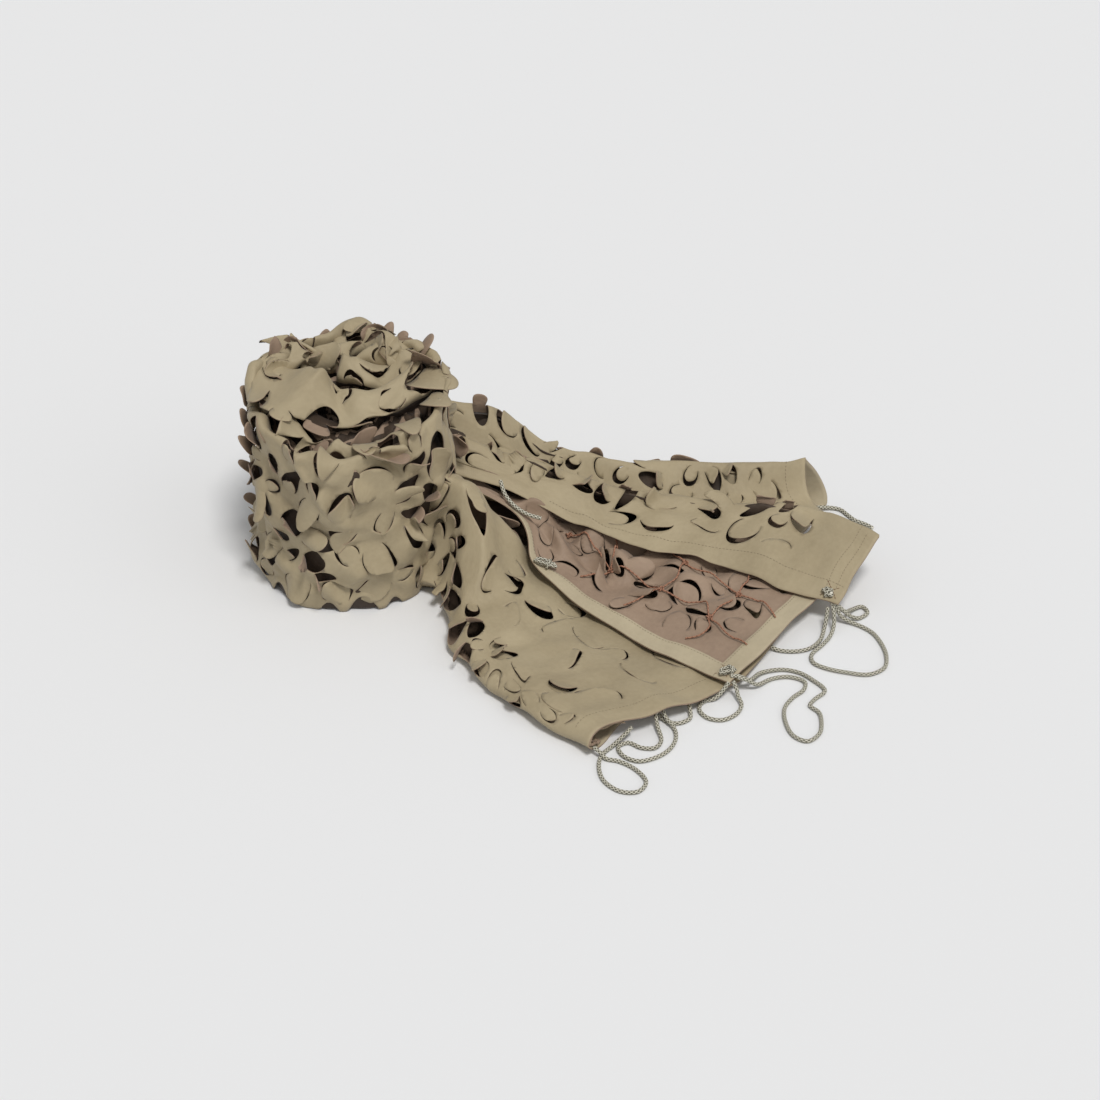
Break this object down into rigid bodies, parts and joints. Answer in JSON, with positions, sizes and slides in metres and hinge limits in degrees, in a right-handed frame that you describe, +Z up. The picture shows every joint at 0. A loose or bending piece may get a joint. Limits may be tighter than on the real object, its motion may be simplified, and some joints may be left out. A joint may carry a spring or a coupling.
{
  "type": "camouflage net",
  "caption": "Leaf-cut camouflage net, rolled up at one end, its folded loose end spread flat, with hemmed edges, string backing and edge cord loops.",
  "frame": {"origin": "centre of the roll's flat underside, on the surface it stands on", "axes": "+Z up, +X from the roll towards the loose end, +Y to the back"},
  "size_m": [0.8214, 0.6325, 0.3033],
  "materials": {
    "net_fabric": "matte",
    "carrier_string": "matte",
    "cord": "matte"
  },
  "bodies": {
    "root": {"net": "net_fabric", "carrier_net": "carrier_string", "cord_apex": "cord", "cord_back": "cord", "cord_front_eight": "cord", "cord_front_loop": "cord", "cord_lower_big": "cord", "cord_lower_small": "cord", "cord_middle": "cord", "cord_upper_back": "cord", "cord_upper_big": "cord", "cord_upper_small": "cord", "wrap_front_edge": "cord", "wrap_lower_corner": "cord", "wrap_upper_corner": "cord"}
  },
  "joints": []
}
